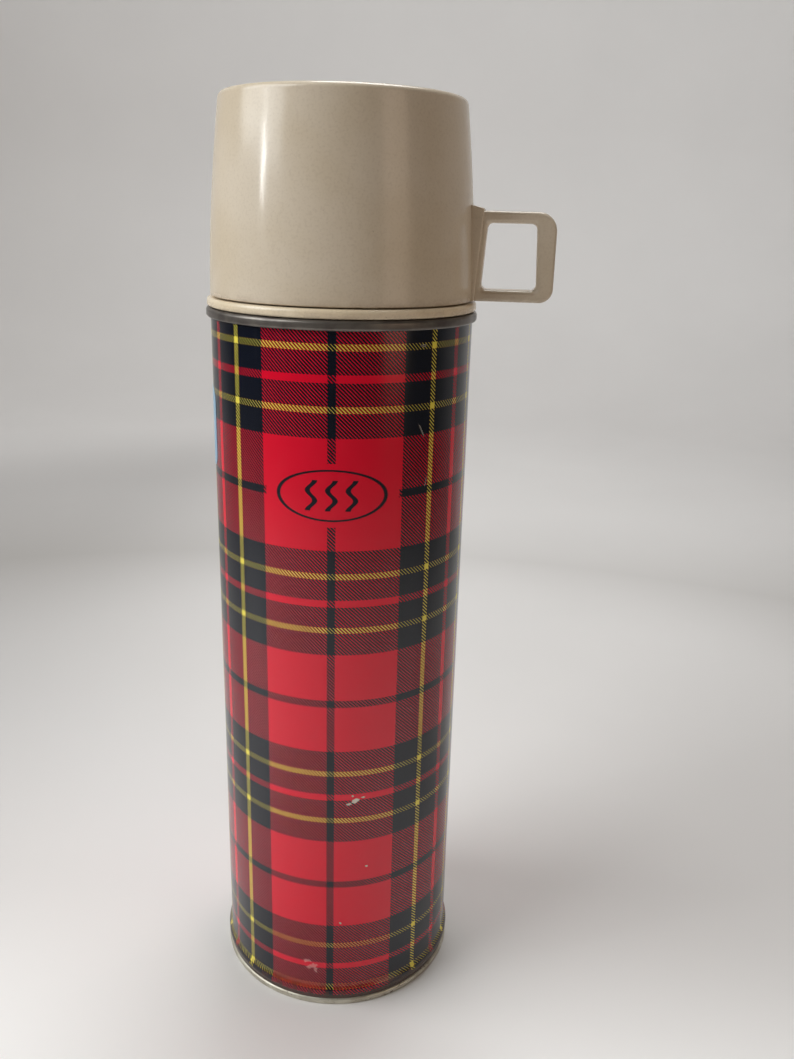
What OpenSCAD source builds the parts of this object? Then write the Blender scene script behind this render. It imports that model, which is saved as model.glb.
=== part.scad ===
// Vacuum flask: printed steel jacket, glass vacuum filler, screwed collar,
// screw stopper and a drinking cup with a handle that covers the stopper.
// The flask stands on z = 0 with its axis on Z, and the cup handle points to +X.

/* [Jacket] */
// Outer diameter of the straight steel jacket
body_d = 98.1; // [96:0.1:99]
// Height of the jacket's top edge, inside the neck ring
jacket_h = 281.5; // [276:0.5:286]
// Thickness of the jacket sheet
jacket_wall = 0.5; // [0.4:0.1:0.8]
// How far the base seam stands out from the jacket
foot_proud = 1.3; // [0.8:0.1:1.6]
// Height of the bare steel seam ring under the jacket
foot_h = 2.7; // [2.4:0.1:4]

/* [Neck ring] */
// How far the rolled bead stands out from the jacket
bead_proud = 1.6; // [1.4:0.1:2.4]
// Height of the rolled bead
bead_h = 3.5; // [3:0.1:5]
// Depth of the threaded sleeve below the bead's top
sleeve_h = 17; // [15:0.5:20]

/* [Collar] */
// Thickness of the collar's visible flange
flange_h = 3.2; // [2.6:0.1:4]
// Height of the neck that the cup goes over
neck_h = 12; // [11.5:0.5:14]
// Lead of the thread between collar and neck ring
collar_lead = 4; // [3.6:0.1:4.4]

/* [Stopper] */
// Lead of the thread between stopper and collar
stopper_lead = 5; // [4.6:0.1:5.4]
// Height of the ribbed grip
grip_h = 15.5; // [12:0.5:18]
// Number of ribs round the grip
grip_ribs = 24; // [16:2:32]

/* [Cup] */
// Overall height of the flask with its cup on
total_h = 355.6; // [354:0.1:360]
// Wall thickness of the cup
cup_wall = 2.2; // [1.8:0.1:2.6]
// How much narrower the barrel-shaped cup is at its closed end
cup_taper = 5; // [4:0.1:6]
// Radius of the edge round the closed end
cup_corner = 2.2; // [1.8:0.1:5]

/* [Handle] */
// Distance from the axis to the handle's outer edge
handle_reach = 77.8; // [74:0.2:82]
// Height of the handle loop
handle_h = 31.5; // [28:0.5:34]
// Thickness of the handle plate
handle_t = 11; // [8:0.5:12]

/* [Glass filler] */
// Outer diameter of the glass filler
glass_d = 85; // [84:0.5:86]
// Thickness of each glass wall
glass_wall = 1.4; // [1.2:0.1:1.8]
// Width of the vacuum space between the body walls
vacuum_gap = 2.9; // [2.5:0.1:3.2]

/* [Label] */
// Width of the plain label
label_w = 26; // [20:1:30]
// Height of the plain label
label_h = 30; // [24:1:36]

/* [Hidden] */

$fn = 96;
slip = 0.3;                    // gap between curved faces of different bodies
face_gap = 0.1;                // gap between flat faces that turn on each other
body_r = body_d / 2;
bore_r = body_r - jacket_wall;

// Base seam
foot_r = body_r + foot_proud;
foot_edge = 0.5;               // bevel on the seam ring's edges
panel_z = 2.5;                 // recess of the base panel
panel_t = 0.6;
step_r = 33;                   // lower centre of the recessed panel
step_h = 0.8;
flare_h = 9.2;                 // where the jacket's flare meets the straight wall
back_seam_w = 7;
back_seam_t = 0.35;

// Neck ring
bead_top = jacket_h + 1.7;
bead_r = body_r + bead_proud;
sleeve_ro = bore_r - 0.6;
sleeve_ri = sleeve_ro - 1;
thread_h = 0.9;                // height of the ring's and stopper's thread ridges

// Collar
flange_z = bead_top + face_gap * 3;
flange_top = flange_z + flange_h;
flange_r = bead_r - 0.4;
skirt_ro = sleeve_ri - 1.4;
skirt_ri = skirt_ro - 2.3;
neck_r = skirt_ro - 1.7;
neck_top = flange_top + neck_h;
collar_wall = 2.4;

// Glass filler
glass_r = glass_d / 2;
inner_r = glass_r - glass_wall - vacuum_gap;
glass_z = 20;                  // underside of the outer glass
shoulder_z = 230;              // where both glass shoulders begin
shoulder_r = 24;               // outer glass, convex part of the shoulder
fillet_r = 8;                  // outer glass, concave part of the shoulder
shoulder_a = 60;               // angle where convex turns into concave
bottom_r = 26;
lip_z = flange_top + 3.3;      // top of the glass lip
lip_h = 2.6;
glass_neck_r = glass_r - (shoulder_r + fillet_r) * (1 - cos(shoulder_a));
bore_neck_r = glass_neck_r - 5.2;

// Collar tube round the glass neck
tube_ri = glass_neck_r + 0.7;
tube_ro = tube_ri + 2.6;
tube_z = lip_z - 22;
tube_top = neck_top + 3.9;

// Stopper
gasket_t = 2;
drum_r = tube_ri - 1.8;
drum_z = lip_z + gasket_t + 2 * face_gap;
grip_z = tube_top + 1.4;
grip_r = 25.5;
drip_r = 31;
drip_t = 2.5;
plug_r = bore_neck_r - 0.7;
plug_z = lip_z - 28;
plug_wall = 1.6;
stopper_top = grip_z + drip_t + grip_h;

// Cup and handle
cup_z = flange_top + 0.5;
cup_r = body_r - 0.1;
cup_h = total_h - cup_z;
handle_z = cup_z + 0.2;
handle_top = handle_z + handle_h;
arm_w = 6.8;                   // outer arm of the loop
bar_h = 4.2;                   // top and bottom bars of the loop
socket_x = cup_r + 0.4;        // floor of the socket that holds the loop
pad_top_x = socket_x + 2.5;
pad_low_x = socket_x + 0.1;
pad_w = handle_t + 2.2;

label_az = -77.5;              // label's middle, from the front towards +X
label_z = 239;
label_t = 0.2;

// ---- profile helpers -------------------------------------------------

// Points along a circular arc in the profile plane
function arc(c, r, a0, a1, n = 8) =
    [for (i = [0:n]) let (a = a0 + (a1 - a0) * i / n) c + r * [cos(a), sin(a)]];

function unit(v) = v / norm(v);

// Arc of radius r that rounds the corner at b, coming from a and going to c
function round_corner(a, b, c, r, n = 6) =
    let (u = unit(a - b), v = unit(c - b),
         half = acos(u * v) / 2,
         mid = b + unit(u + v) * r / sin(half),
         p = b + u * r / tan(half) - mid,
         q = b + v * r / tan(half) - mid,
         a0 = atan2(p[1], p[0]),
         turn = atan2(p[0] * q[1] - p[1] * q[0], p * q))
    arc(mid, r, a0, a0 + turn, n);

// Closed outline with one radius for each corner
function rounded(pts, radii) =
    let (n = len(pts))
    [for (i = [0:n - 1])
        each round_corner(pts[(i + n - 1) % n], pts[i], pts[(i + 1) % n], radii[i])];

function reverse(list) = [for (i = [len(list) - 1:-1:0]) list[i]];

module lathe(points) rotate_extrude() polygon(points);

// Helical ridge on a wall. root_r lies inside the wall and crest_r is its free edge.
module ridge(root_r, crest_r, z, lead, turns, root_w = 1.3, crest_w = 0.6, start = 0) {
    per_turn = 36;
    steps = round(turns * per_turn);
    run_out = 5;               // steps over which each end fades into the wall
    side = crest_r > root_r ? 1 : -1;
    points = [for (i = [0:steps])
        let (a = start + 360 * i / per_turn,
             rise = z + lead * i / per_turn,
             fade = min(1, 0.1 + min(i, steps - i) / run_out),
             tip = root_r + (crest_r - root_r) * fade)
        each [for (p = [[root_r, -root_w], [tip, -crest_w], [tip, crest_w], [root_r, root_w]])
            [p[0] * cos(a), p[0] * sin(a), rise + side * p[1] / 2]]];
    sides = [for (i = [0:steps - 1], j = [0:3])
        let (k = (j + 1) % 4, here = 4 * i, next = 4 * i + 4)
        each [[here + j, here + k, next + k], [here + j, next + k, next + j]]];
    polyhedron(points, concat([[3, 2, 1], [3, 1, 0]], sides,
        [[4 * steps, 4 * steps + 1, 4 * steps + 2], [4 * steps, 4 * steps + 2, 4 * steps + 3]]));
}

// ---- casing ----------------------------------------------------------

module jacket() color("firebrick") {
    lathe([[foot_r - 0.6, foot_h], [foot_r - 0.6, foot_h + 2], [foot_r, foot_h + 3],
           [foot_r, foot_h + 3.6], [body_r, flare_h], [body_r, jacket_h],
           [bore_r, jacket_h], [bore_r, flare_h], [foot_r - 1.2, foot_h + 3.4],
           [foot_r - 1.2, foot_h]]);
    // Folded side seam, down the back
    intersection() {
        lathe([[body_r - 0.2, flare_h + 1], [body_r + back_seam_t, flare_h + 1],
               [body_r + back_seam_t, jacket_h - 3], [body_r - 0.2, jacket_h - 3]]);
        translate([-back_seam_w / 2, 0, 0]) cube([back_seam_w, body_r + 2, jacket_h]);
    }
}

module neck_ring() color("dimgray") {
    slot = 0.05;               // play round the jacket edge clinched in the bead
    lathe(concat(
        arc([bead_r - 1, bead_top - bead_h + 1], 1, -90, 0, 4),
        arc([bead_r - 1.4, bead_top - 1.4], 1.4, 0, 90, 5),
        [[sleeve_ri, bead_top], [sleeve_ri, bead_top - sleeve_h],
         [sleeve_ro, bead_top - sleeve_h], [sleeve_ro, jacket_h],
         [body_r + slot, jacket_h], [body_r + slot, bead_top - bead_h]]));
    ridge(sleeve_ri + 0.5, sleeve_ri - thread_h, bead_top - sleeve_h + 3, collar_lead, 2.25);
}

module base_plate() color("silver") {
    lathe(concat([[0, panel_z - step_h], [step_r, panel_z - step_h], [step_r + 2, panel_z],
                  [bore_r - 0.7, panel_z], [bore_r - 0.7, foot_edge], [bore_r - 0.2, 0]],
        arc([foot_r - foot_edge, foot_edge], foot_edge, -90, 0, 3),
        arc([foot_r - foot_edge, foot_h - foot_edge], foot_edge, 0, 90, 3),
        [[bore_r - 0.1, foot_h], [bore_r - 0.1, panel_z + panel_t],
         [step_r + 1.8, panel_z + panel_t], [step_r - 0.2, panel_z + panel_t - step_h],
         [0, panel_z + panel_t - step_h]]));
}

module base_cushion() color("saddlebrown") {
    wall_r = bore_r - 1.4;
    hole_r = 7;                // clears the filler's sealed tip
    foot_ri = 20;
    foot_ro = 26;
    foot_z = panel_z + panel_t - step_h;
    seat_t = 5;
    c = [glass_r - bottom_r, glass_z + bottom_r];
    outside = arc(c, bottom_r + seat_t, -72, -35);
    lathe(concat(
        [[hole_r, glass_z - seat_t], [foot_ri, glass_z - seat_t],
         [foot_ri, foot_z], [foot_ro, foot_z], [foot_ro, outside[0][1]]],
        outside, [[wall_r, outside[len(outside) - 1][1]], [wall_r, glass_z + 16]],
        reverse(arc(c, bottom_r + slip, -82, -22)), [[c[0], glass_z], [hole_r, glass_z]]));
}

// ---- glass filler ----------------------------------------------------

// A glass wall as [body radius, bottom edge radius, shoulder radius, fillet radius, underside]
outer_wall = [glass_r, bottom_r, shoulder_r, fillet_r, glass_z];
inner_wall = let (step = glass_wall + vacuum_gap, shoulder = shoulder_r - step,
                  neck = bore_neck_r + glass_wall)
    [inner_r, bottom_r - step, shoulder,
     (inner_r - neck) / (1 - cos(shoulder_a)) - shoulder, glass_z + step];
// What changes from a wall's outer surface to its inner one
inwards = glass_wall * [-1, -1, -1, 1, 1];

// Side of a glass wall from its underside to its straight neck
function bottle(wall) =
    let (r = wall[0], bottom = wall[1], shoulder = wall[2], fillet = wall[3],
         c = [r - shoulder, shoulder_z])
    concat(
        arc([r - bottom, wall[4] + bottom], bottom, -90, 0, 10),
        arc(c, shoulder, 0, shoulder_a, 8),
        arc(c + (shoulder + fillet) * [cos(shoulder_a), sin(shoulder_a)], fillet,
            180 + shoulder_a, 180, 6));

module glass_outer() color("lightblue") {
    tip_r = 3;                 // sealed pumping tip under the bottom
    tip_h = 9;
    rim = lip_z - lip_h;
    lathe(concat([[0, glass_z - tip_h]], arc([1, glass_z - tip_h + 2], 2, -90, 0, 3),
        [[tip_r + 1, glass_z]], bottle(outer_wall),
        [[glass_neck_r, rim], [glass_neck_r - glass_wall, rim]],
        reverse(bottle(outer_wall + inwards)), [[0, glass_z + glass_wall]]));
}

module glass_inner() color("powderblue") {
    rim = lip_z - lip_h;
    edge = 0.9;                // rounding of the fused lip
    lathe(concat([[0, inner_wall[4]]], bottle(inner_wall),
        [[bore_neck_r + glass_wall, rim], [glass_neck_r, rim]],
        arc([glass_neck_r - edge, lip_z - edge], edge, 0, 90, 4),
        arc([bore_neck_r + edge, lip_z - edge], edge, 90, 180, 4),
        reverse(bottle(inner_wall + inwards)), [[0, inner_wall[4] + glass_wall]]));
}

module glass_spacers() color("gainsboro") {
    pad_r = 5;
    for (a = [60:120:300])
        intersection() {
            rotate([0, 0, a]) translate([inner_r - 2, 0, 70]) rotate([0, 90, 0])
                cylinder(h = vacuum_gap + 4, r = pad_r);
            difference() {
                cylinder(h = 90, r = inner_r + vacuum_gap - 0.05);
                translate([0, 0, -1]) cylinder(h = 92, r = inner_r + 0.05);
            }
        }
}

module side_label() color("lightskyblue") {
    corner = 6;
    w = label_w / 2;
    h = label_h / 2;
    intersection() {
        difference() {
            translate([0, 0, label_z - label_h]) cylinder(h = 2 * label_h, r = body_r + label_t);
            translate([0, 0, label_z - label_h - 1]) cylinder(h = 2 * label_h + 2, r = body_r);
        }
        rotate([0, 0, label_az]) translate([0, 0, label_z]) rotate([90, 0, 0])
            linear_extrude(body_r + 5)
                polygon(rounded([[-w, -h], [w, -h], [w, h], [-w, h]], [for (i = [0:3]) corner]));
    }
}

// ---- collar ----------------------------------------------------------

module neck_gasket() color("dimgray") {
    c = [glass_r - shoulder_r, shoulder_z]
        + (shoulder_r + fillet_r) * [cos(shoulder_a), sin(shoulder_a)];
    lathe(concat(arc(c, fillet_r - slip, 196, 236, 5),
        [[tube_ro + 0.6, tube_z - face_gap], [glass_neck_r + 0.5, tube_z - face_gap]]));
}

module collar() color("wheat") {
    edge = 0.8;
    shoulder = 2.2;
    lathe(concat(
        [[tube_ri, tube_z]], arc([tube_ri + 0.7, tube_top - 0.7], 0.7, 180, 90, 4),
        [[tube_ro, tube_top], [neck_r - shoulder, neck_top]],
        arc([neck_r - shoulder, neck_top - shoulder], shoulder, 70, 0, 5),
        [[neck_r, flange_top]],
        arc([flange_r - 1.2, flange_top - 1.2], 1.2, 90, 0, 4),
        arc([flange_r - edge, flange_z + edge], edge, 0, -90, 3),
        [[skirt_ro, flange_z], [skirt_ro, flange_z - sleeve_h + 2],
         [skirt_ri, flange_z - sleeve_h + 2], [skirt_ri, flange_z + 1],
         [neck_r - collar_wall, flange_z + 1.8],
         [neck_r - collar_wall, neck_top - collar_wall - 1],
         [neck_r - collar_wall - 1.4, neck_top - collar_wall],
         [tube_ro, tube_top - collar_wall - 0.4], [tube_ro, tube_z]]));
    // Thread that holds the collar in the neck ring
    ridge(skirt_ro - 0.5, skirt_ro + 1.1, bead_top - sleeve_h + 3 + collar_lead / 2, collar_lead,
          2.25);
    // Thread for the stopper, inside the tube
    ridge(tube_ri + 0.5, tube_ri - thread_h, drum_z + 1.5, stopper_lead, 1.4);
    // Thread for the cup, round the neck
    ridge(neck_r - 0.5, neck_r + 1.2, flange_top + 2.4, 5, 1.4);
}

// ---- stopper ---------------------------------------------------------

module stopper_gasket() color("dimgray") {
    z = lip_z + face_gap;
    lathe([[plug_r + 0.2, z], [drum_r, z], [drum_r, z + gasket_t], [plug_r + 0.2, z + gasket_t]]);
}

module stopper_body() color("wheat") {
    hollow_r = plug_r - plug_wall;
    rib_r = 0.8;
    lathe(concat([[0, plug_z]], arc([plug_r - 3, plug_z + 3], 3, -90, 0, 5),
        [[plug_r, drum_z], [drum_r, drum_z], [drum_r, grip_z], [drip_r - 0.6, grip_z]],
        arc([drip_r - 0.8, grip_z + 0.8], 0.8, -70, 90, 5),
        [[grip_r, grip_z + drip_t], [grip_r, stopper_top - 1], [grip_r - 1, stopper_top],
         [hollow_r + 2, stopper_top], [hollow_r + 2, stopper_top - 3],
         [hollow_r, stopper_top - 3], [hollow_r, plug_z + plug_wall], [0, plug_z + plug_wall]]));
    for (i = [0:grip_ribs - 1])
        rotate([0, 0, 360 * i / grip_ribs]) translate([grip_r - 0.1, 0, grip_z + drip_t - 0.2])
            cylinder(h = grip_h - 1.2, r = rib_r, $fn = 24);
    ridge(drum_r - 0.5, drum_r + 1.2, drum_z + 1.5 + stopper_lead / 2, stopper_lead, 1.4);
}

module stopper_core() color("ivory") {
    z = plug_z + plug_wall + face_gap;
    translate([0, 0, z]) cylinder(h = stopper_top - 3 - face_gap - z, r = plug_r - plug_wall - 0.1);
}

module stopper_cap() color("tan") {
    r = plug_r - plug_wall + 1.9;
    z = stopper_top - 3;
    dish_r = r - 3;
    lathe(concat([[0, z], [r, z]], arc([r - 0.5, stopper_top + 0.3], 0.5, 0, 90, 3),
        [[dish_r, stopper_top + 0.8], [dish_r - 1, stopper_top - 0.6], [0, stopper_top - 0.6]]));
}

// ---- cup -------------------------------------------------------------

// Outer radius of the barrel-shaped cup at height z
function cup_at(z) = cup_r - cup_taper * pow((z - cup_z) / cup_h, 1.67);

// The cup's outline at a depth inside its outer surface, from the mouth to the top
function cup_side(depth, steps = 12) =
    let (top = total_h - depth, edge = cup_corner - depth * 0.6,
         last = top - edge)
    concat(
        [for (i = [0:steps]) let (z = cup_z + (last - cup_z) * i / steps) [cup_at(z) - depth, z]],
        arc([cup_at(last) - depth - edge, last], edge, 10, 90, 6));

module cup() color("wheat") {
    difference() {
        union() {
            lathe(concat([[0, cup_z]], cup_side(0), [[0, total_h]]));
            // Pad that the handle is set into
            rotate([90, 0, 0]) translate([0, 0, -pad_w / 2]) linear_extrude(pad_w)
                polygon([[cup_r - 4, handle_z], [pad_low_x, handle_z],
                         [pad_top_x, handle_top + 0.7], [cup_r - 2, handle_top + 1.9],
                         [cup_r - 4, handle_top + 1.9]]);
        }
        lathe(concat([[0, cup_z - 1], [cup_r - cup_wall, cup_z - 1]], cup_side(cup_wall),
                     [[0, total_h - cup_wall]]));
        translate([socket_x, -handle_t / 2, handle_z - 1]) cube([10, handle_t, handle_h + 1]);
    }
    ridge(cup_r - cup_wall + 0.5, cup_r - cup_wall - 1.1, cup_z + 2.4 + 2.5, 5, 1.4);
}

module cup_handle() color("wheat") {
    top = handle_top - bar_h;
    low = handle_z + bar_h;
    arm_x = handle_reach - arm_w;
    rotate([90, 0, 0]) translate([0, 0, -handle_t / 2]) linear_extrude(handle_t)
        difference() {
            polygon(rounded(
                [[socket_x, handle_z], [handle_reach, handle_z], [handle_reach, handle_top],
                 [socket_x, handle_top]], [0.4, 5, 6.8, 0.4]));
            polygon(rounded(
                [[pad_low_x + 2.2, low], [arm_x + 0.7, low], [arm_x - 0.3, top],
                 [pad_top_x + 1.4, top]], [2, 2, 2, 2]));
        }
}

jacket();
neck_ring();
base_plate();
base_cushion();
glass_outer();
glass_inner();
glass_spacers();
side_label();
neck_gasket();
collar();
stopper_gasket();
stopper_body();
stopper_core();
stopper_cap();
cup();
cup_handle();
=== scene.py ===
import math

import bmesh
import bpy
from mathutils import Matrix, Vector, noise


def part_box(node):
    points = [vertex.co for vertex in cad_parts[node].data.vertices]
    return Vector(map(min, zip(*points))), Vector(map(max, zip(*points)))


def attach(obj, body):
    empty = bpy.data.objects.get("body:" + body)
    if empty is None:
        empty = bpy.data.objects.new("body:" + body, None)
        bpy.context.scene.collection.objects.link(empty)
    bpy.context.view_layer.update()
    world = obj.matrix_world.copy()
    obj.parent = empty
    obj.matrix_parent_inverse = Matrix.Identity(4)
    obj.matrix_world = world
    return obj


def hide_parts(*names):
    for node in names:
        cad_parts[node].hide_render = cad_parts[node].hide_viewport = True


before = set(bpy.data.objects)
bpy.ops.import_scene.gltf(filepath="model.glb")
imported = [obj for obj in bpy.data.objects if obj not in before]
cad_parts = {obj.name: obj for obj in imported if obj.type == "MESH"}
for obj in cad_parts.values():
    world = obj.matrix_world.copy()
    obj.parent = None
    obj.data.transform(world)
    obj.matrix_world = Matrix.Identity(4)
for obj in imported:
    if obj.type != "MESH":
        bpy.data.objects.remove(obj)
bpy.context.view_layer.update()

MM = 0.001
TAU = 2 * math.pi
SIDES = 192                     # facets round a turned piece


def reach(node):
    """Outer radius, lowest level and highest level of a turned CAD node."""
    low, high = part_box(node)
    return max(high.y, -low.y) / MM, low.z / MM, high.z / MM


foot_r, jacket_low, jacket_top = reach("jacket")
bead_r, sleeve_low, bead_top = reach("neck_ring")
panel_top = reach("base_plate")[2]
flange_r, tube_low, tube_top = reach("collar")
drip_r, plug_low, stopper_top = reach("stopper_body")
cap_top = reach("stopper_cap")[2]
cup_r, cup_low, cup_top = reach("cup")
body_r = cup_r + 0.1
body_wall = 0.5
bead_h = 3.5
flange_top = cup_low - 0.5
flange_low = bead_top + 0.3
cup_wall = 2.2
cup_taper = 5                   # how much narrower the cup is at its closed end
cup_curve = 1.67                # power of the curve that narrows it
cup_corner = 2.2                # rounding round its closed end
collar_lead = 4                 # leads of the two sizes of thread
stopper_lead = 5
seam_half = 3.5                 # half width of the folded seam at the back
seam_fold = 0.35                # width of the fold at its edges
seam_rise = 0.35
dent_depth = 0.10


# ---- outlines ----------------------------------------------------------

def arc(centre, radius, start, end, steps=8):
    """Points along an arc, with its angles in degrees."""
    turns = [math.radians(start + (end - start) * i / steps) for i in range(steps + 1)]
    return [(centre[0] + radius * math.cos(a), centre[1] + radius * math.sin(a)) for a in turns]


def rounded(corners, steps=6):
    """Closed outline through (x, y, rounding) corners."""
    points = []
    for i, (x, y, radius) in enumerate(corners):
        here = Vector((x, y))
        if radius == 0:
            points.append((x, y))
            continue
        back = (Vector(corners[i - 1][:2]) - here).normalized()
        ahead = (Vector(corners[(i + 1) % len(corners)][:2]) - here).normalized()
        half = back.angle(ahead) / 2
        centre = here + (back + ahead).normalized() * radius / math.sin(half)
        first = here + back * radius / math.tan(half) - centre
        last = here + ahead * radius / math.tan(half) - centre
        turn = math.atan2(first.x * last.y - first.y * last.x, first.dot(last))
        start = math.degrees(math.atan2(first.y, first.x))
        points += arc(centre, radius, start, start + math.degrees(turn), steps)
    return points


def filled(start, end, spacing):
    """Points along a straight line, both ends included."""
    steps = max(1, round(math.dist(start, end) / spacing))
    return [tuple(Vector(start).lerp(Vector(end), i / steps)) for i in range(steps + 1)]


# ---- meshes ------------------------------------------------------------

def at(radius, azimuth, z):
    """Point in metres at an azimuth in radians."""
    return Vector((radius * math.sin(azimuth), -radius * math.cos(azimuth), z)) * MM


def bridge(mesh, here, there):
    """Joins two closed rings of vertices. A ring of one vertex is a point on the axis."""
    count = max(len(here), len(there))
    if count == 1:
        return
    for i in range(count):
        j = (i + 1) % count
        corners = [here[i % len(here)], here[j % len(here)],
                   there[j % len(there)], there[i % len(there)]]
        mesh.faces.new(list(dict.fromkeys(corners)))


def lathe(mesh, outline, azimuths=None, shape=None):
    """Turns a closed (radius, z) outline. shape adds to the radius at each point."""
    azimuths = azimuths or [TAU * i / SIDES for i in range(SIDES)]
    rings = []
    for radius, z in outline:
        if radius < 0.001:
            rings.append([mesh.verts.new((0, 0, z * MM))])
            continue
        rings.append([mesh.verts.new(at(radius + (shape(radius, a, z) if shape else 0), a, z))
                      for a in azimuths])
    for here, there in zip(rings, rings[1:] + rings[:1]):
        bridge(mesh, here, there)


def thread(mesh, root, crest, z, lead, turns):
    """Helical ridge that starts at +X and fades out at both ends."""
    per_turn = 72
    steps = round(turns * per_turn)
    run_out = 9                 # steps over which it fades out
    half_foot, half_crest, edge = 0.65, 0.32, 0.14
    section = rounded([(0, -half_foot, 0), (1, -half_crest, edge), (1, half_crest, edge),
                       (0, half_foot, 0)], 3)
    rings = []
    for i in range(steps + 1):
        fade = min(1, 0.1 + min(i, steps - i) / run_out)
        turn = TAU * (i / per_turn + 0.25)
        rings.append([mesh.verts.new(at(root + (crest - root) * fade * out, turn,
                                        z + lead * i / per_turn + up)) for out, up in section])
    for here, there in zip(rings, rings[1:]):
        bridge(mesh, here, there)
    mesh.faces.new(rings[0])
    mesh.faces.new(rings[-1])


def block(mesh, outline, half_width, edge):
    """Prism of an (x, z) outline across Y, with rounded edges."""
    sides = [[mesh.verts.new(Vector((x, y, z)) * MM) for x, z in outline]
             for y in (-half_width, half_width)]
    made = [mesh.faces.new(side) for side in sides]
    for i in range(len(outline)):
        j = (i + 1) % len(outline)
        made.append(mesh.faces.new([sides[0][i], sides[0][j], sides[1][j], sides[1][i]]))
    edges = list({e for face in made for e in face.edges})
    bmesh.ops.bevel(mesh, geom=edges, offset=edge * MM, segments=4, profile=0.5, affect="EDGES")


def add_piece(name, mesh, slot, body, *nodes):
    """Turns a finished mesh into a piece that stands for CAD nodes of one body.
    slot names its material, as in the record."""
    bmesh.ops.recalc_face_normals(mesh, faces=mesh.faces)
    data = bpy.data.meshes.new(name)
    mesh.to_mesh(data)
    mesh.free()
    data.shade_smooth()
    data.set_sharp_from_angle(angle=math.radians(38))
    data.materials.append(materials[slot])
    piece = bpy.data.objects.new(name, data)
    bpy.context.scene.collection.objects.link(piece)
    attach(piece, body)
    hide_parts(*nodes)


# ---- material helper ---------------------------------------------------

def colour(red, green, blue):
    """Linear colour from display values of 0 to 255."""
    def linear(value):
        value /= 255
        return value / 12.92 if value <= 0.04045 else ((value + 0.055) / 1.055) ** 2.4
    return (linear(red), linear(green), linear(blue), 1)


class Paint:
    """Short calls for the nodes of one material. Its lengths are in millimetres."""

    def __init__(self, name):
        self.material = bpy.data.materials.new(name + "_finish")
        self.material.use_nodes = True
        self.nodes = self.material.node_tree.nodes
        self.links = self.material.node_tree.links
        self.shader = self.nodes["Principled BSDF"]
        place = self.nodes.new("ShaderNodeTexCoord").outputs["Object"]
        self.place = self.vector("MULTIPLY", place, (1 / MM, 1 / MM, 1 / MM))
        split = self.nodes.new("ShaderNodeSeparateXYZ")
        self.put(split.inputs[0], self.place)
        self.x, self.y, self.z = split.outputs

    def put(self, socket, value):
        """Links a socket to another, or sets it to a constant."""
        if isinstance(value, bpy.types.NodeSocket):
            self.links.new(value, socket)
        else:
            socket.default_value = value

    def vector(self, operation, a, b):
        node = self.nodes.new("ShaderNodeVectorMath")
        node.operation = operation
        self.put(node.inputs[0], a)
        self.put(node.inputs[1], b)
        return node.outputs[0]

    def math(self, operation, *values):
        node = self.nodes.new("ShaderNodeMath")
        node.operation = operation
        for socket, value in zip(node.inputs, values):
            self.put(socket, value)
        return node.outputs[0]

    def add(self, first, *others):
        for other in others:
            first = self.math("ADD", first, other)
        return first

    def times(self, first, *others):
        for other in others:
            first = self.math("MULTIPLY", first, other)
        return first

    def fade(self, value, start, end):
        """0 at start and 1 at end, with a smooth change between them."""
        node = self.nodes.new("ShaderNodeMapRange")
        node.interpolation_type = "SMOOTHSTEP"
        self.put(node.inputs["Value"], value)
        self.put(node.inputs["From Min"], start)
        self.put(node.inputs["From Max"], end)
        return node.outputs["Result"]

    def band(self, value, middle, half, soft):
        """1 within half of the middle, and 0 outside."""
        away = self.math("ABSOLUTE", self.math("SUBTRACT", value, middle))
        return self.fade(away, half + soft, half - soft)

    def mix(self, factor, a, b):
        node = self.nodes.new("ShaderNodeMix")
        node.data_type = "RGBA"
        self.put(node.inputs[0], factor)
        self.put(node.inputs[6], a)
        self.put(node.inputs[7], b)
        return node.outputs[2]

    def noise(self, size, detail=2, stretch=(1, 1, 1), place=None):
        """Cloud pattern from 0 to 1 with features of about one size."""
        node = self.nodes.new("ShaderNodeTexNoise")
        node.inputs["Scale"].default_value = 1
        node.inputs["Detail"].default_value = detail
        scale = [1 / (size * s) for s in stretch]
        self.put(node.inputs["Vector"], self.vector("MULTIPLY", place or self.place, scale))
        return node.outputs[0]

    def wall(self, radius):
        """Place on an unrolled round wall: millimetres from the front, and height."""
        turn = self.math("ARCTAN2", self.x, self.times(self.y, -1))
        return self.times(turn, radius), self.z

    def done(self, base, roughness, metal=0.0, height=None, **others):
        """Sets the shader. height is the relief in millimetres."""
        self.put(self.shader.inputs["Base Color"], base)
        self.put(self.shader.inputs["Roughness"], roughness)
        self.put(self.shader.inputs["Metallic"], metal)
        for name, value in others.items():
            self.put(self.shader.inputs[name.replace("_", " ")], value)
        if height is not None:
            bump = self.nodes.new("ShaderNodeBump")
            bump.inputs["Distance"].default_value = MM
            self.put(bump.inputs["Height"], height)
            self.put(self.shader.inputs["Normal"], bump.outputs[0])
        return self.material


# ---- printed jacket ----------------------------------------------------

PRINT_FRONT = 6.0               # azimuth of the middle of the badge, degrees
PRINT_LEVEL = 223.0             # height of the middle of the badge
REPEATS = 3                     # how often the tartan repeats round the jacket
PRINT_WIDTH = TAU * body_r / REPEATS
PRINT_HEIGHT = 81.54
LINE = 2.7                      # width of the tartan's thin lines
YELLOW_AT = 0.371               # place of the yellow line, as a share of a repeat
DARK_FROM = 0.25                # start of the navy band, given in the same way
TWILL = TAU * body_r / 225      # one stroke of the hatching
EVEN, SHIFT = 0.25, 0.10        # share of a stroke, and how much wider the navy strokes are
RED = colour(224, 6, 44)
OLD_RED = colour(186, 46, 60)
NAVY = colour(11, 17, 30)
YELLOW = colour(232, 216, 84)
BARE_TIN = colour(188, 180, 168)
BADGE = (20.5, 9.6)             # half width and half height

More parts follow.
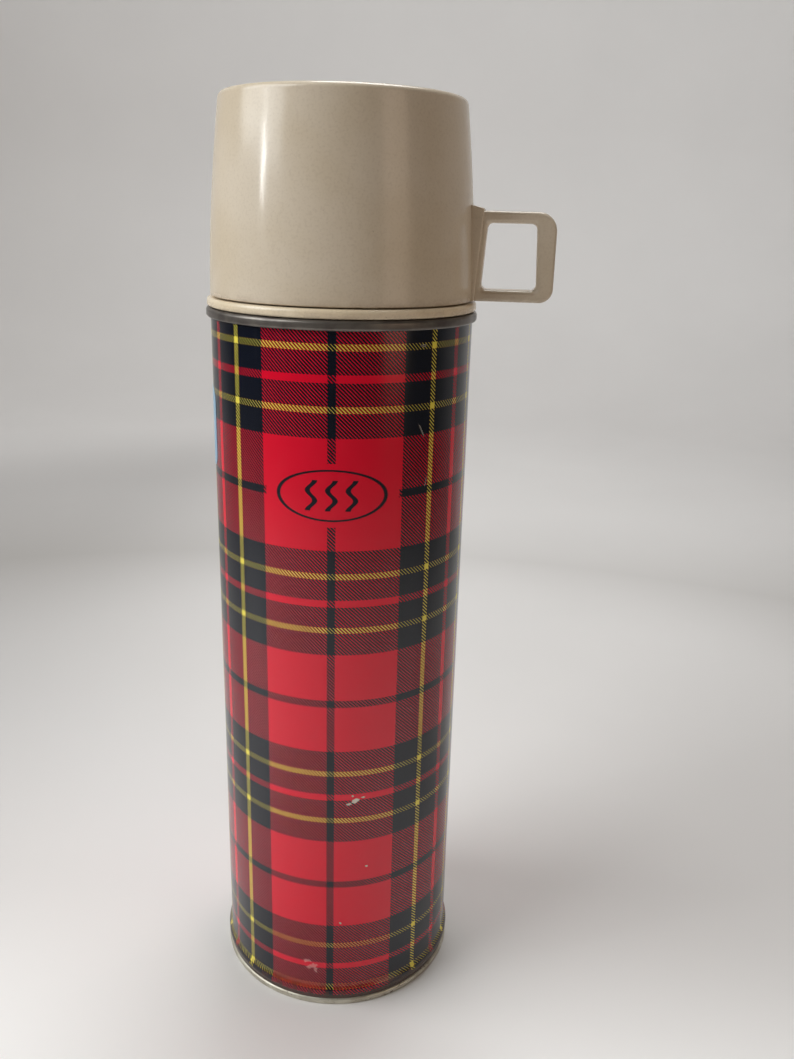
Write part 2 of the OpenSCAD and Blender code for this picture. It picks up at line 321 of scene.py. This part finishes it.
# Chips in the print: azimuth, height, half width, half height and tilt in degrees
CHIPS = [(17.5, 99.0, 1.5, 0.9, 20), (14.4, 97.4, 1.0, 0.6, 0), (20.9, 100.2, 0.8, 0.5, 0),
         (16.2, 101.2, 0.5, 0.4, 0), (23.2, 67.7, 0.6, 0.4, 0), (11.0, 40.9, 0.45, 0.45, 0),
         (44.8, 245.0, 0.25, 2.3, 28), (44.3, 274.4, 1.2, 0.45, 0), (48.2, 226.0, 0.2, 1.6, -12),
         (-118, 60.0, 1.8, 1.0, 0), (152, 131.0, 1.4, 1.9, 0), (97, 203.0, 1.1, 1.3, 30)]
# Scrapes that only dull the print, given in the same way
SCRAPES = [(-2.6, 18.2, 2.2, 0.9, 25), (-1.4, 17.4, 0.7, 2.0, 20), (-5.6, 20.6, 1.6, 0.8, 0),
           (139, 88.0, 4.2, 1.2, 15)]


def tartan_threads(p, red, distance, repeat, line_end):
    """Thread colours in one direction, with where they are navy and where they are yellow.
    distance goes from 0 to 0.5 in each repeat. line_end is 0 where the mark interrupts a line."""
    half = LINE / repeat / 2
    soft = 0.16 / repeat
    yellow = p.band(distance, YELLOW_AT, half * 0.8, soft)
    line = p.times(p.band(distance, 0, half * 1.1, soft), line_end)
    dark = p.fade(distance, DARK_FROM - soft, DARK_FROM + soft)
    dark = p.times(dark, p.fade(p.band(distance, 0.5, half, soft), 1, 0))
    navy = p.math("MAXIMUM", p.times(dark, p.fade(yellow, 1, 0)), line)
    return p.mix(yellow, p.mix(navy, red, NAVY), YELLOW), navy, yellow


def badge_mark(p, right, up):
    """Generic mark: three lines of steam in an oval."""
    oval = p.math("SQRT", p.add(p.math("POWER", p.times(right, 1 / BADGE[0]), 2),
                                p.math("POWER", p.times(up, 1 / BADGE[1]), 2)))
    ring = p.band(oval, 0.95, 0.036, 0.014)
    wave = p.times(p.math("SINE", p.times(up, 0.85)), 1.3)
    steam = p.band(p.math("PINGPONG", p.add(right, wave), 3.6), 0, 0.95, 0.15)
    steam = p.times(steam, p.band(right, 0, 10.6, 0.2), p.band(up, 0, 5.6, 0.2))
    return p.math("MAXIMUM", ring, steam), p.fade(oval, 1.19, 1.22)


def marks(p, right, up, places, ragged):
    """Small ragged patches at stated places on the wall."""
    found = None
    for azimuth, level, half_width, half_height, tilt in places:
        dx = p.add(right, -math.radians(azimuth) * body_r)
        dz = p.add(up, -level)
        turn = math.radians(tilt)
        across = p.add(p.times(dx, math.cos(turn)), p.times(dz, math.sin(turn)))
        along = p.add(p.times(dz, math.cos(turn)), p.times(dx, -math.sin(turn)))
        away = p.math("SQRT", p.add(p.math("POWER", p.times(across, 1 / half_width), 2),
                                    p.math("POWER", p.times(along, 1 / half_height), 2)))
        patch = p.fade(p.add(away, ragged), 1.12, 0.9)
        found = patch if found is None else p.math("MAXIMUM", found, patch)
    return found


def litho_steel():
    p = Paint("litho_steel")
    right, up = p.wall(body_r)
    mark, line_end = badge_mark(p, p.add(right, -math.radians(PRINT_FRONT) * body_r),
                                p.add(up, -PRINT_LEVEL))
    across = p.math("PINGPONG", p.add(p.times(right, 1 / PRINT_WIDTH),
                                      -PRINT_FRONT * REPEATS / 360), 0.5)
    along = p.math("PINGPONG", p.times(p.add(up, -PRINT_LEVEL), 1 / PRINT_HEIGHT), 0.5)
    # The red is duller low down and in faint clouds
    clouds = p.noise(22, 3)
    age = p.add(p.fade(up, 250, 10), p.times(p.add(clouds, -0.5), 0.8))
    red = p.mix(p.times(p.math("MAXIMUM", age, 0), 0.22), RED, OLD_RED)
    warp, warp_navy, warp_yellow = tartan_threads(p, red, across, PRINT_WIDTH, line_end)
    weft, weft_navy, weft_yellow = tartan_threads(p, red, along, PRINT_HEIGHT, line_end)
    strokes = p.math("PINGPONG", p.times(p.add(right, up), 1 / TWILL), 0.5)
    # The yellow strokes are thin, and nearly gone where they cross red near the foot
    worn = p.times(p.fade(up, 62, 12), p.fade(warp_navy, 0.6, 0), 1.6)
    thin = p.times(weft_yellow, p.add(0.7, worn))
    share = p.times(p.add(warp_navy, thin, p.times(weft_navy, -1)), SHIFT)
    # A red stroke between two yellow ones is half covered
    warp_under = p.mix(p.times(weft_yellow, p.fade(warp_yellow, 0.6, 0)), warp, NAVY)
    weft_under = p.mix(p.times(warp_yellow, p.fade(weft_yellow, 0.6, 0)), weft, NAVY)
    ink = p.mix(p.fade(p.add(strokes, p.times(share, -1)), EVEN - 0.07, EVEN + 0.07),
                p.mix(0.6, warp, warp_under), p.mix(0.6, weft, weft_under))
    ink = p.mix(mark, ink, NAVY)

    # Wear: rubbed streaks, chips, scrapes and dirt, and painted shade in the groove over the rim
    streaks = p.fade(p.noise(1.6, 3, (1, 1, 14)), 0.60, 0.72)
    ragged = p.times(p.add(p.noise(1.2, 4), -0.5), 2.2)
    chips = marks(p, right, up, CHIPS, ragged)
    scrapes = marks(p, right, up, SCRAPES, p.times(ragged, 1.5))
    specks = p.fade(p.noise(0.8, 2), 0.80, 0.84)
    ink = p.mix(p.times(scrapes, 0.55), ink, colour(214, 150, 146))
    ink = p.mix(p.times(p.fade(up, 14, 4), p.fade(p.noise(3, 4), 0.45, 0.7)), ink,
                colour(74, 42, 34))
    # Painted shade fills the groove over the rim, and reaches higher towards the sides
    shaded_groove_top = p.add(jacket_low + 1.6, p.times(p.fade(p.math("ABSOLUTE", right), 14, 48), 1.9),
                   p.times(p.noise(4, 3), 0.8))
    ink = p.mix(p.times(p.fade(p.add(up, p.times(shaded_groove_top, -1)), 0.5, -0.3), 0.92), ink,
                colour(72, 58, 50))
    bare = p.math("MAXIMUM", chips, specks)
    base = p.mix(bare, ink, BARE_TIN)
    rough = p.add(0.15, p.times(clouds, 0.10), p.times(streaks, 0.05), p.times(scrapes, 0.25))
    height = p.add(p.times(bare, -0.05), p.times(p.noise(5, 2), 0.02),
                   p.times(p.noise(0.9, 1), 0.004))
    return p.done(base, rough, p.times(bare, 0.85), height)


# ---- other materials ---------------------------------------------------

def moulded(name, fresh, aged, stain, stains, low_edge):
    """Old moulded plastic: mottled, yellowed in patches, scuffed, and darker in patches along its
    low edge.
    """
    p = Paint(name)
    clouds = p.noise(26, 4)
    base = p.mix(p.fade(clouds, 0.3, 0.75), fresh, aged)
    grain = p.noise(0.8, 3)
    base = p.mix(p.times(p.fade(grain, 0.45, 0.75), 0.10), base, stain)
    freckles = p.fade(p.noise(1.3, 2), 0.765, 0.80)
    scuffs = p.fade(p.noise(0.7, 3, (9, 9, 1)), 0.66, 0.74)
    # Darker in patches along the low edge
    low_edge_dark = p.times(p.fade(p.z, low_edge + 3.2, low_edge), p.fade(p.noise(6, 4), 0.3, 0.7))
    base = p.mix(p.times(p.math("MAXIMUM", freckles, low_edge_dark), stains), base, stain)
    rough = p.add(0.13, p.times(clouds, 0.12), p.times(scuffs, 0.05), p.times(low_edge_dark, 0.2))
    height = p.add(p.times(p.noise(9, 2), 0.06), p.times(grain, 0.005), p.times(scuffs, -0.003))
    return p.done(base, rough, 0.0, height, Specular_IOR_Level=0.45)


def old_metal(name, clean, tarnish, rust, share, rough_low, metal):
    """Plain metal with tarnish clouds and a share of rust or dirt spots."""
    p = Paint(name)
    clouds = p.noise(8, 4)
    base = p.mix(p.fade(clouds, 0.35, 0.7), clean, tarnish)
    spots = p.fade(p.noise(1.8, 4), 0.72 - share, 0.80 - share)
    lathe_marks = p.noise(0.35, 2, (40, 40, 1))
    base = p.mix(p.times(spots, 0.85), base, rust)
    rough = p.add(rough_low, p.times(clouds, 0.2), p.times(spots, 0.3))
    metallic = p.times(p.add(1, p.times(spots, -0.8)), metal)
    height = p.add(p.times(lathe_marks, 0.006), p.times(spots, 0.03), p.times(clouds, 0.03))
    return p.done(base, rough, metallic, height)


def label_paper():
    p = Paint("label_paper")
    fibre = p.noise(0.9, 4, (2, 2, 1))
    clouds = p.noise(11, 3)
    base = p.mix(p.fade(clouds, 0.35, 0.7), colour(137, 168, 193), colour(158, 182, 200))
    base = p.mix(p.times(p.fade(fibre, 0.5, 0.8), 0.25), base, colour(196, 204, 206))
    return p.done(base, p.add(0.45, p.times(fibre, 0.2)), 0.0, p.times(fibre, 0.03))


def grainy(name, dark, light, grain_size, rough, relief, metal=0.0):
    """Fine-grained matter of two tones, such as rubber, cork or felt."""
    p = Paint(name)
    grain = p.noise(grain_size, 4)
    tone = p.mix(p.fade(grain, 0.35, 0.65), dark, light)
    tone = p.mix(p.times(p.noise(grain_size * 12, 2), 0.3), tone, dark)
    return p.done(tone, p.add(rough, p.times(grain, 0.1)), metal, p.times(grain, relief))


def silvered_glass():
    p = Paint("silvered_glass")
    haze = p.noise(14, 4)
    base = p.mix(p.fade(haze, 0.35, 0.75), colour(226, 228, 226), colour(196, 196, 188))
    return p.done(base, p.add(0.04, p.times(haze, 0.12)), 0.95, p.times(haze, 0.15),
                  Coat_Weight=1.0, Coat_Roughness=0.03)


def make_materials():
    made = [
        litho_steel(),
        moulded("cup_plastic", colour(217, 203, 184), colour(209, 193, 170),
                colour(120, 88, 58), 0.3, cup_low),
        moulded("collar_plastic", colour(238, 222, 196), colour(228, 208, 176),
                colour(96, 66, 42), 0.35, flange_low),
        moulded("stopper_plastic", colour(216, 200, 168), colour(204, 184, 146),
                colour(110, 80, 52), 0.6, plug_low),
        old_metal("neck_steel", colour(120, 114, 108), colour(92, 86, 82), colour(66, 50, 40),
                  0.02, 0.24, 0.55),
        old_metal("tinplate", colour(206, 202, 188), colour(172, 164, 148), colour(70, 44, 30),
                  0.10, 0.34, 0.65),
        label_paper(),
        silvered_glass(),
        grainy("cushion_rubber", colour(58, 44, 36), colour(84, 66, 52), 1.5, 0.62, 0.05),
        grainy("seal_rubber", colour(40, 38, 38), colour(62, 58, 56), 0.8, 0.5, 0.02),
        grainy("spacer_pad", colour(176, 172, 160), colour(206, 202, 190), 0.7, 0.8, 0.08),
        grainy("cork", colour(112, 74, 44), colour(178, 134, 88), 1.2, 0.75, 0.15),
    ]
    return {material.name.removesuffix("_finish"): material for material in made}


# ---- pieces ------------------------------------------------------------

def seam_relief(radius, azimuth, z):
    """Folded seam down the back of the jacket, and shallow dents all over it."""
    if radius < body_r - 0.2:
        return 0
    away = abs((azimuth - math.pi) * body_r)
    if away < seam_half + seam_fold and jacket_low + 7 < z < jacket_top - 3:
        return seam_rise * min(1, (seam_half + seam_fold - away) / seam_fold)
    dents = noise.noise(Vector((math.sin(azimuth) * 2.1, math.cos(azimuth) * 2.1, z / 34)))
    flat_ends = min(1, max(0, min(z - jacket_low - 6, jacket_top - z) / 12))
    return dent_depth * (dents - 0.35) * flat_ends


def seam_azimuths():
    """Even steps round the jacket, with extra lines where the back seam folds."""
    folds = [math.pi + side * (seam_half + step) / body_r
             for side in (-1, 1) for step in (0, 0.12, 0.23, seam_fold)]
    even = [TAU * i / 240 for i in range(240)]
    clear = [a for a in even if all(abs(a - f) > 0.004 for f in folds)]
    return sorted(clear + folds)


def make_jacket():
    low = jacket_low
    inner = body_r - body_wall
    flare = [(foot_r - 0.6, low), (foot_r - 0.6, low + 1.9)]
    flare += arc((foot_r - 0.6, low + 2.5), 0.6, -90, 0, 4)[1:]
    flare += [(foot_r, low + 3.4), (foot_r - 0.15, low + 4.0), (foot_r - 0.55, low + 4.9),
              (body_r + 0.25, low + 5.6), (body_r, low + 6.4)]
    side = filled((body_r, low + 8), (body_r, jacket_top), 3.5)
    inside = [(inner, jacket_top), (inner, low + 6), (foot_r - 1.2, low + 3.4),
              (foot_r - 1.2, low)]
    mesh = bmesh.new()
    lathe(mesh, flare + side + inside, seam_azimuths(), seam_relief)
    add_piece("printed_jacket", mesh, "litho_steel", "casing", "jacket")


def make_neck_ring():
    sleeve_ro = body_r - body_wall - 0.6
    sleeve_ri = sleeve_ro - 1
    low = bead_top - bead_h
    outline = rounded([
        (body_r + 0.05, low, 0.2), (bead_r, low, 1.0), (bead_r, bead_top, 1.3),
        (bead_r - 2.6, bead_top, 0.2), (bead_r - 2.9, bead_top - 0.35, 0.2),
        (sleeve_ri + 0.8, bead_top - 0.35, 0.3), (sleeve_ri, bead_top - 1.1, 0.3),
        (sleeve_ri, sleeve_low, 0.3), (sleeve_ro, sleeve_low, 0.3),
        (sleeve_ro, jacket_top, 0), (body_r + 0.05, jacket_top, 0)], 8)
    mesh = bmesh.new()
    lathe(mesh, outline)
    thread(mesh, sleeve_ri + 0.3, sleeve_ri - 0.9, sleeve_low + 3, collar_lead, 2.25)
    add_piece("rolled_neck_ring", mesh, "neck_steel", "casing", "neck_ring")


def make_base_plate():
    inner = body_r - body_wall
    step_r = 33
    top = panel_top
    low = top - 0.6
    outline = rounded([
        (step_r, low - 0.8, 0.6), (step_r + 2, low, 0.8), (inner - 0.9, low, 0.6),
        (inner - 0.7, 0, 0.25),
        (foot_r, 0, 0.75), (foot_r, jacket_low, 0.9), (inner - 0.1, jacket_low, 0),
        (inner - 0.1, top, 0), (step_r + 1.8, top, 0.6), (step_r - 0.2, top - 0.8, 0.8)], 6)
    mesh = bmesh.new()
    lathe(mesh, [(0, top - 0.8), (0, low - 0.8)] + outline)
    add_piece("base_panel", mesh, "tinplate", "casing", "base_plate")


def make_label():
    low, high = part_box("side_label")
    middle = (low + high) / 2
    azimuth = math.radians(-77.5)
    level = middle.z / MM
    thick = 0.2
    half_width, half_height, corner = 13, 15, 6
    corners = ((-1, -1), (1, -1), (1, 1), (-1, 1))
    outline = rounded([(side * half_width, end * half_height, corner) for side, end in corners], 8)
    outline = [p for a, b in zip(outline, outline[1:] + outline[:1]) for p in filled(a, b, 2)[:-1]]
    mesh = bmesh.new()
    rings = []
    for shrink, lift in ((1, 0), (1, 0.6), (0.99, 1), (0.8, 1), (0.5, 1), (0.2, 1)):
        rings.append([mesh.verts.new(at(body_r + thick * lift, azimuth + x * shrink / body_r,
                                        level + z * shrink)) for x, z in outline])
    for here, there in zip(rings, rings[1:]):
        bridge(mesh, here, there)
    mesh.faces.new(rings[-1])
    add_piece("plain_label", mesh, "label_paper", "casing", "side_label")


def make_collar():
    skirt_ro = body_r - body_wall - 3
    skirt_ri = skirt_ro - 2.3
    neck_r = skirt_ro - 1.7
    tube_ri, tube_ro, wall = 27.2, 29.8, 2.4
    neck_top = tube_top - 3.9
    skirt_low = flange_low - 15
    outline = rounded([
        (tube_ri, tube_low, 0.3), (tube_ri, tube_top, 0.9), (tube_ro + 0.4, tube_top, 0.9),
        (neck_r, neck_top, 2.4), (neck_r, flange_top, 0.5), (flange_r, flange_top, 1.25),
        (flange_r, flange_low, 0.9), (skirt_ro, flange_low, 0.2), (skirt_ro, skirt_low, 0.5),
        (skirt_ri, skirt_low, 0.5), (skirt_ri, flange_low + 1, 0.6),
        (neck_r - wall, flange_low + 1.8, 0.4), (neck_r - wall, neck_top - wall, 1.2),
        (tube_ro, tube_top - wall, 0.6), (tube_ro, tube_low, 0.3)], 7)
    mesh = bmesh.new()
    lathe(mesh, outline)
    thread(mesh, skirt_ro - 0.3, skirt_ro + 1.1, sleeve_low + 5, collar_lead, 2.25)
    thread(mesh, tube_ri + 0.3, tube_ri - 0.9, tube_low + 25.7, stopper_lead, 1.4)
    thread(mesh, neck_r - 0.3, neck_r + 1.2, flange_top + 2.4, stopper_lead, 1.4)
    add_piece("screwed_collar", mesh, "collar_plastic", "collar", "collar")


def make_stopper():
    plug_r, drum_r, grip_r = 20.6, 25.4, 25.5
    drum_low = plug_low + 30.2
    grip_low = tube_top + 1.4
    drip_top = grip_low + 2.5
    hollow_r = plug_r - 1.6
    ribs, rib_r = 24, 0.8

    def rib_wave(radius, azimuth, z):
        """Rounded ribs on the wall of the grip."""
        if radius < grip_r - 0.1 or z < drip_top + 0.1 or z > stopper_top - 1.2:
            return 0
        step = TAU / ribs
        away = abs((azimuth + step / 2) % step - step / 2) * grip_r
        return math.sqrt(max(0, rib_r ** 2 - away ** 2))

    outline = rounded([
        (0, plug_low, 0), (plug_r, plug_low, 3), (plug_r, drum_low, 0), (drum_r, drum_low, 0.4),
        (drum_r, grip_low, 0.3), (drip_r, grip_low, 0.8), (drip_r, drip_top, 0.9),
        (grip_r, drip_top, 0.4)], 6)
    outline += [(grip_r, drip_top + 0.2), (grip_r, stopper_top - 1.3)]
    outline += arc((grip_r - 1, stopper_top - 1), 1, 0, 90, 5)
    outline += [(hollow_r + 2, stopper_top), (hollow_r + 2, stopper_top - 3),
                (hollow_r, stopper_top - 3), (hollow_r, plug_low + 1.6), (0, plug_low + 1.6)]
    mesh = bmesh.new()
    lathe(mesh, outline, [TAU * i / 480 for i in range(480)], rib_wave)
    thread(mesh, drum_r - 0.3, drum_r + 1.2, drum_low + 4, stopper_lead, 1.4)
    add_piece("ribbed_stopper", mesh, "stopper_plastic", "stopper", "stopper_body")

    cap_r = hollow_r + 1.9
    cap_low = stopper_top - 3
    disc = rounded([(0, cap_low, 0), (cap_r, cap_low, 0.3), (cap_r, cap_top, 0.5),
                    (cap_r - 3, cap_top, 0.5), (cap_r - 4, cap_top - 1.4, 0.6),
                    (0, cap_top - 1.4, 0)], 5)
    mesh = bmesh.new()
    lathe(mesh, disc)
    add_piece("stopper_disc", mesh, "stopper_plastic", "stopper", "stopper_cap")


def cup_at(z):
    """Outer radius of the barrel-shaped cup."""
    return cup_r - cup_taper * ((z - cup_low) / (cup_top - cup_low)) ** cup_curve


def cup_side(depth, steps=36):
    """Side and top edge of the cup at a depth under its outer surface."""
    corner = cup_corner - depth * 0.6
    last = cup_top - depth - corner
    levels = [cup_low + 0.9 + (last - cup_low - 0.9) * i / steps for i in range(steps + 1)]
    edge = arc((cup_at(last) - depth - corner, last), corner, 8, 90, 10)
    return [(cup_at(z) - depth, z) for z in levels] + edge


def make_cup():
    dish_r, dish = 36, 0.5
    lip = 0.6
    inner_lip = (cup_r - cup_wall + lip, cup_low + lip)
    outside = arc((cup_r - lip, cup_low + lip), lip, -90, -10, 4) + cup_side(0)
    top = arc((dish_r, cup_top - 1), 1, 90, 120, 3) + [(dish_r - 2, cup_top - dish)]
    inside = cup_side(cup_wall)[::-1] + arc(inner_lip, lip, 190, 270, 4)
    mesh = bmesh.new()
    lathe(mesh, outside + top + [(0, cup_top - dish), (0, cup_top - cup_wall)] + inside)
    thread(mesh, cup_r - cup_wall + 0.3, cup_r - cup_wall - 1.1, cup_low + 4.9, stopper_lead, 1.4)

    # Pad that the handle is set into
    low, high = (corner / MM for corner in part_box("cup_handle"))
    pad_low = low.z - 0.1
    pad_side, pad_edge = 1.1, 0.6
    pad = [(cup_r - 1.5, pad_low), (low.x + 0.1, pad_low), (low.x + 2.5, high.z + 0.7),
           (cup_r - 2.1, high.z + 2.0)]
    block(mesh, pad, high.y + pad_side, pad_edge)
    add_piece("drinking_cup", mesh, "cup_plastic", "cup", "cup")


def make_handle():
    low, high = (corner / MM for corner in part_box("cup_handle"))
    half = high.y
    bar, arm = 4.2, 6.8
    outer = rounded([(low.x, low.z, 0.4), (high.x, low.z, 5), (high.x, high.z, 6.8),
                     (low.x, high.z, 0.4)], 12)
    inner = rounded([(low.x + 2.3, low.z + bar, 2), (high.x - arm + 0.7, low.z + bar, 2),
                     (high.x - arm - 0.3, high.z - bar, 2), (low.x + 3.9, high.z - bar, 2)], 12)
    mesh = bmesh.new()
    rings = []
    for out, into in zip(outer, inner):
        across = Vector(into) - Vector(out)
        wide = across.length
        soft_out = min(1.6, wide * 0.3)
        soft_in = min(2.3, wide * 0.42)
        section = rounded([(0, -half, soft_out), (0, half, soft_out), (wide, half, soft_in),
                           (wide, -half, soft_in)], 7)
        places = [(Vector(out) + across.normalized() * s, y) for s, y in section]
        rings.append([mesh.verts.new(Vector((p.x, y, p.y)) * MM) for p, y in places])
    for here, there in zip(rings, rings[1:] + rings[:1]):
        bridge(mesh, here, there)
    add_piece("cup_handle_loop", mesh, "cup_plastic", "cup", "cup_handle")


def paint_inner_nodes():
    """The inner CAD nodes keep their shape and get a finished material."""
    finishes = {"glass_outer": "silvered_glass", "glass_inner": "silvered_glass",
                "glass_spacers": "spacer_pad", "base_cushion": "cushion_rubber",
                "neck_gasket": "seal_rubber", "stopper_gasket": "seal_rubber",
                "stopper_core": "cork"}
    for node, finish in finishes.items():
        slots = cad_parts[node].material_slots
        for slot in slots:
            slot.material = materials[finish]
        if not slots:
            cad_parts[node].data.materials.append(materials[finish])


# ---- stage, lights and camera ------------------------------------------

def make_stage():
    """Pale floor that curves up into a round wall, which is painted dark in front of the flask as
    painted shade, with painted shade on the floor to its left and a painted pool of light in front
    of it.
    """
    p = Paint("floor_painted_light")
    clouds = p.noise(160, 3)
    away = p.math("SQRT", p.add(p.times(p.x, p.x), p.times(p.y, p.y)))
    pale_and_painted_light = p.mix(clouds, colour(216, 212, 210), colour(223, 219, 217))
    # Painted shade: the floor is darker to the left of the flask
    pale_and_painted_light = p.mix(p.times(p.fade(p.x, -60, -380), p.fade(away, 1150, 800)), pale_and_painted_light,
                 colour(186, 182, 180))
    # Painted light: a brighter pool on the floor in front of the flask
    pale_and_painted_light = p.mix(p.fade(p.y, 20, -140), pale_and_painted_light, colour(246, 243, 241))
    # Painted shade: the wall and far floor in front of the flask are dark
    clear_of_painted_shade = p.math("MAXIMUM", p.fade(p.y, 0, 700), p.fade(away, 900, 380))
    base = p.mix(clear_of_painted_shade, colour(126, 119, 111), pale_and_painted_light)
    p.done(base, p.add(0.7, p.times(clouds, 0.1)))
    mesh = bmesh.new()
    flat_r, curve_r, wall_top, sides = 1200, 500, 1800, 96
    profile = filled((1, 0), (flat_r, 0), 100)
    profile += arc((flat_r, curve_r), curve_r, -90, 0, 12)[1:] + [(flat_r + curve_r, wall_top)]
    rings = [[mesh.verts.new(at(radius, TAU * i / sides, z)) for i in range(sides)]
             for radius, z in profile]
    for here, there in zip(rings, rings[1:]):
        bridge(mesh, here, there)
    mesh.faces.new(rings[0])
    data = bpy.data.meshes.new("studio_floor")
    mesh.to_mesh(data)
    mesh.free()
    data.shade_smooth()
    data.materials.append(p.material)
    floor = bpy.data.objects.new("studio_floor", data)
    bpy.context.scene.collection.objects.link(floor)


def make_light(name, place, aim, size, power, tint, spread):
    """Soft light. spread is the width of its beam in degrees."""
    data = bpy.data.lights.new(name, "AREA")
    data.shape = "RECTANGLE"
    data.size, data.size_y = size
    data.energy = power
    data.color = tint
    data.spread = math.radians(spread)
    light = bpy.data.objects.new(name, data)
    light.location = place
    light.rotation_euler = (Vector(aim) - Vector(place)).to_track_quat("-Z", "Y").to_euler()
    bpy.context.scene.collection.objects.link(light)


def make_lights():
    """One large window on the left, a wash on the wall, and weak fills."""
    white = (0.97, 1, 1)
    make_light("window_left", (-1.00, -0.42, 0.98), (0, 0, 0.16), (1.1, 0.9), 9.6, white, 130)
    make_light("wall_wash", (-0.1, 0.55, 1.45), (-0.1, 1.6, 0.3), (1.8, 0.4), 6.0, white, 110)
    make_light("soft_top", (0.05, 0.38, 1.25), (0, 0, 0.2), (0.6, 0.6), 3.6, white, 120)
    make_light("room_right", (1.0, -0.7, 0.5), (0, 0, 0.2), (0.5, 0.9), 0.46, (1, 0.77, 0.57), 80)
    make_light("window_gap", (-1.08, -0.60, 0.57), (0, 0, 0.34), (0.015, 0.15), 0.11, white, 60)
    world = bpy.data.worlds.new("room")
    world.use_nodes = True
    sky = world.node_tree.nodes["Background"]
    sky.inputs["Color"].default_value = (1, 0.90, 0.80, 1)
    sky.inputs["Strength"].default_value = 0.04
    bpy.context.scene.world = world
    bpy.context.scene.view_settings.view_transform = "Standard"


def make_camera():
    """Camera close in front of the flask, a little to its right and looking down."""
    place = Vector((63.65, -358.9, 316.0)) * MM
    yaw, pitch, roll = (math.radians(a) for a in (-6.475, 18.376, 1.53))
    data = bpy.data.cameras.new("camera")
    data.lens = 32.0
    data.sensor_width = 36
    camera = bpy.data.objects.new("camera", data)
    turned = (Matrix.Rotation(-yaw, 4, "Z") @ Matrix.Rotation(math.pi / 2 - pitch, 4, "X")
              @ Matrix.Rotation(roll, 4, "Z"))
    camera.matrix_world = Matrix.Translation(place) @ turned
    bpy.context.scene.collection.objects.link(camera)
    bpy.context.scene.camera = camera


materials = make_materials()
make_jacket()
make_neck_ring()
make_base_plate()
make_label()
make_collar()
make_stopper()
make_cup()
make_handle()
paint_inner_nodes()
make_stage()
make_lights()
make_camera()
